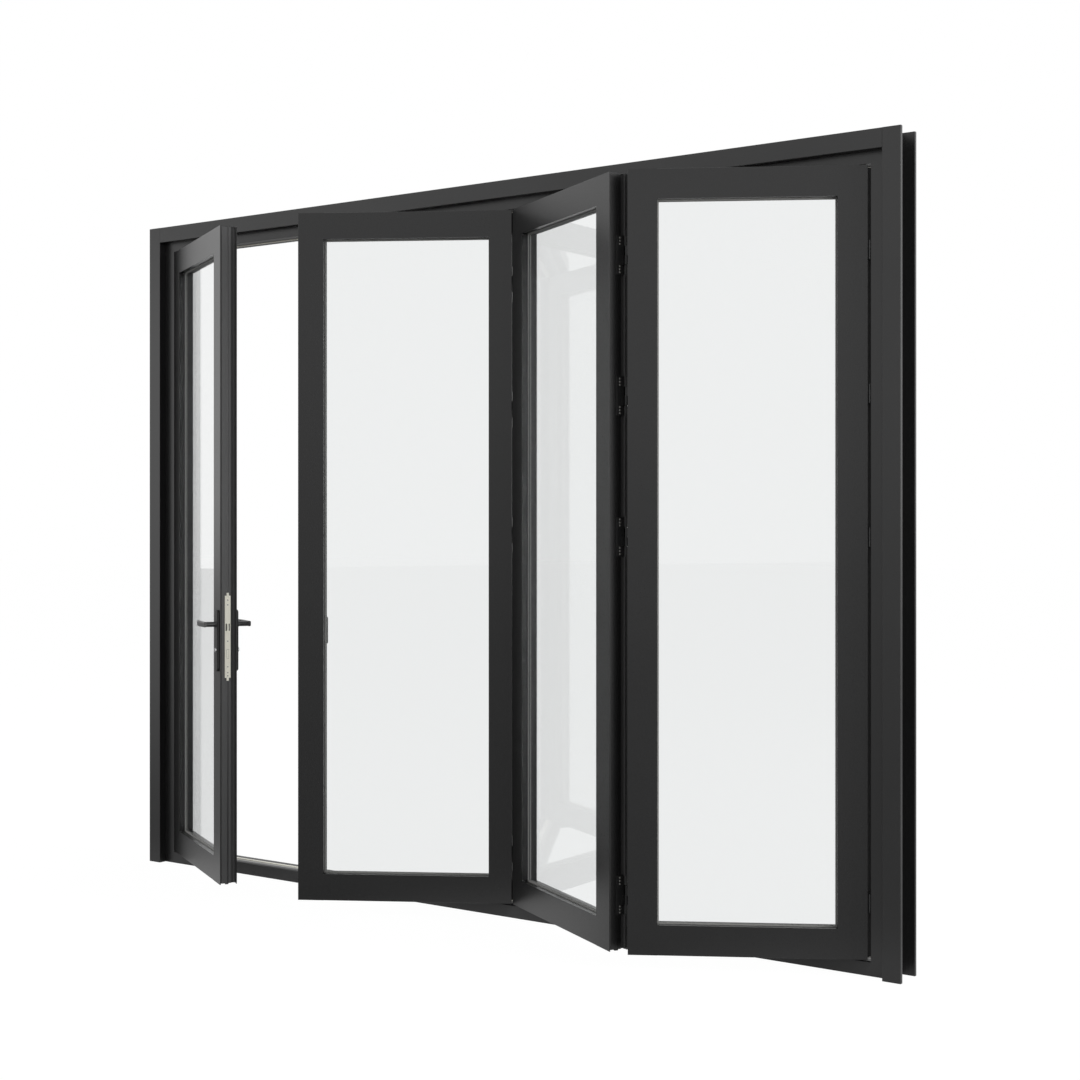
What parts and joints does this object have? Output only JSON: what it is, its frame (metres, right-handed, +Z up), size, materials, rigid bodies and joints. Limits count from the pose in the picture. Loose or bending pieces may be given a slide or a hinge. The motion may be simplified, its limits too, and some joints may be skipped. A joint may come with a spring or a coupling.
{
  "type": "bifold patio door",
  "caption": "Aluminium framed bifold glass patio door with a hinged access leaf, lever handles and folding leaves shown partly open.",
  "frame": {"origin": "on the underside of the sill, at mid width and mid depth of the frame", "axes": "+X along the frame to the right seen from outside, +Y into the building, +Z up"},
  "size_m": [3.08, 0.4741, 2.438],
  "materials": {
    "frame": "matt charcoal powder coat",
    "leaf": "matt charcoal powder coat",
    "glass": "clear float glass",
    "gasket": "pale grey extruded seal",
    "hinge": "black satin",
    "handle": "black satin",
    "lock_plate": "ivory satin",
    "lock_steel": "satin steel",
    "track": "satin anodised, pale",
    "guide": "black"
  },
  "bodies": {
    "frame": {"bottom_guide": "guide", "head_frame": "frame", "head_track": "track", "leaf_1_jamb_hinges": "hinge", "leaf_2_bottom_rail": "leaf", "leaf_2_gaskets": "gasket", "leaf_2_glass": "glass", "leaf_2_hinges": "hinge", "leaf_2_left_stile": "leaf", "leaf_2_right_stile": "leaf", "leaf_2_top_rail": "leaf", "leaf_3_bottom_rail": "leaf", "leaf_3_fold_hinges": "hinge", "leaf_3_gaskets": "gasket", "leaf_3_glass": "glass", "leaf_3_left_stile": "leaf", "leaf_3_right_stile": "leaf", "leaf_3_top_rail": "leaf", "leaf_3_track_hinges": "hinge", "leaf_4_bottom_rail": "leaf", "leaf_4_fold_hinges": "hinge", "leaf_4_gaskets": "gasket", "leaf_4_glass": "glass", "leaf_4_hinges": "hinge", "leaf_4_jamb_hinges": "hinge", "leaf_4_left_stile": "leaf", "leaf_4_right_stile": "leaf", "leaf_4_top_rail": "leaf", "left_jamb": "frame", "right_jamb": "frame", "shoot_bolt_handle": "handle", "sill": "frame", "sill_track": "track", "strike_plate": "lock_plate", "top_carrier": "guide"},
    "access_leaf": {"leaf_1_bottom_rail": "leaf", "leaf_1_gaskets": "gasket", "leaf_1_glass": "glass", "leaf_1_hinges": "hinge", "leaf_1_left_stile": "leaf", "leaf_1_right_stile": "leaf", "leaf_1_top_rail": "leaf", "outer_escutcheon": "handle", "inner_escutcheon": "handle", "lock_cylinder": "lock_steel", "lock_faceplate": "lock_plate"},
    "lever_set": {"outer_lever": "handle", "inner_lever": "handle", "lever_spindle": "lock_steel"}
  },
  "joints": [
    {"name": "access_leaf_hinge", "type": "hinge", "parent": "frame", "child": "access_leaf", "pos_m": [-1.4312, -0.026, 0.048], "axis": [0, 0, 1], "range_deg": [-60, 30]},
    {"name": "lever_turn", "type": "hinge", "parent": "access_leaf", "child": "lever_set", "pos_m": [-0.84138, -0.3394, 0.953], "axis": [-0.5, -0.866, 0], "range_deg": [0, 40], "stiffness_Nm_per_rad": 0.6, "springref_deg": -14.32}
  ]
}
